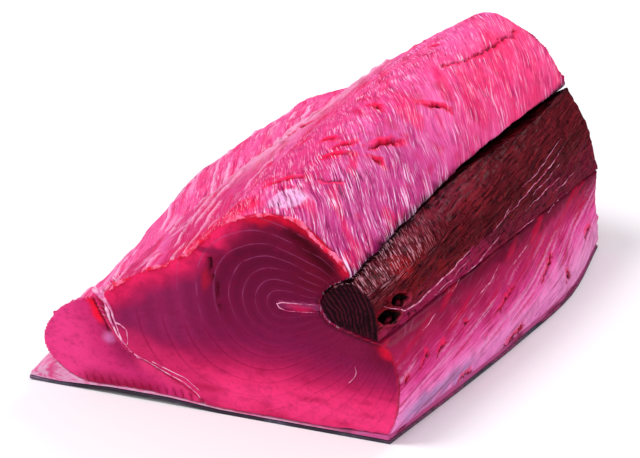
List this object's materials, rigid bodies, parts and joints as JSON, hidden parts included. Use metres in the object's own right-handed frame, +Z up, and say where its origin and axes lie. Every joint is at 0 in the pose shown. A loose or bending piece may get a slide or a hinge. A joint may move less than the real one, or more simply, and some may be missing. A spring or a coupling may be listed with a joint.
{
  "type": "raw tuna loin block",
  "caption": "Block of raw tuna loin on its skin, with ringed cut ends, a strip of dark muscle along the right side and a side lobe behind a white membrane.",
  "frame": {"origin": "centre of the base of the block's bounding box, on the surface it lies on", "axes": "+Y along the block from the front cut to the back cut, +X to the right across the cut, towards the dark muscle, +Z up"},
  "size_m": [0.2478, 0.316, 0.1397],
  "materials": {
    "red_flesh": "moist, fine-grained",
    "pink_flesh": "moist, smooth",
    "dark_flesh": "moist, fine-grained",
    "fat": "moist, smooth",
    "hide": "wet, smooth"
  },
  "bodies": {
    "root": {"loin": "red_flesh", "side_lobe": "pink_flesh", "dark_muscle": "dark_flesh", "fat_layer": "fat", "skin": "hide"}
  },
  "joints": []
}
